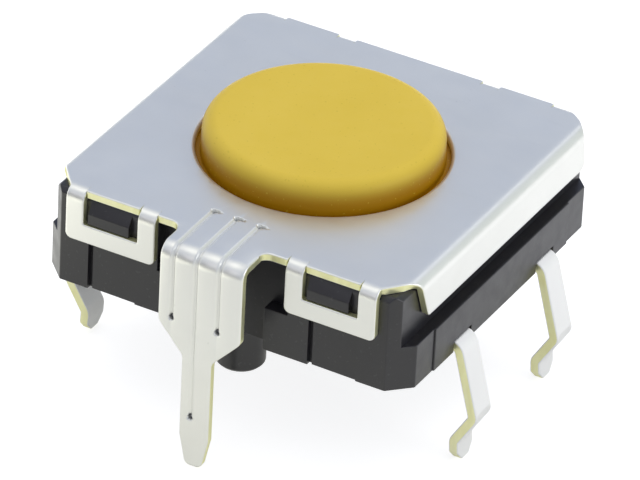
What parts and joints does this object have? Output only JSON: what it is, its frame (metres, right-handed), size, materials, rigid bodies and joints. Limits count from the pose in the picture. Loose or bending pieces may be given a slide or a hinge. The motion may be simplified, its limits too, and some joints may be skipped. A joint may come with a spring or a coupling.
{
  "type": "tactile push button switch",
  "caption": "Square tactile push button switch with a round button, folded metal cover, snap-in terminals and a ground pin.",
  "frame": {"origin": "centre of the underside of the base, on the plane that lies on the circuit board", "axes": "+Z along the button's axis, away from the board; -Y towards the ground terminal; the contact terminals leave at +X and -X"},
  "size_m": [0.014, 0.0131, 0.0081],
  "materials": {
    "black_plastic": "moulded, fine matte",
    "cover_sheet": "tin-plated steel sheet, satin",
    "yellow_plastic": "moulded, semi-matte",
    "spring_sheet": "thin bright spring steel",
    "tinned_sheet": "tinned brass sheet, bright"
  },
  "bodies": {
    "housing": {"base": "black_plastic", "cover": "cover_sheet", "front_contact_strip": "tinned_sheet", "rear_contact_strip": "tinned_sheet", "click_dome": "spring_sheet"},
    "push_button": {"button": "yellow_plastic"}
  },
  "joints": [
    {"name": "button_press", "type": "slide", "parent": "housing", "child": "push_button", "axis": [0, 0, -1], "range_m": [0, 0.0003], "stiffness_N_per_m": 8500, "deforming": ["click_dome"]}
  ]
}
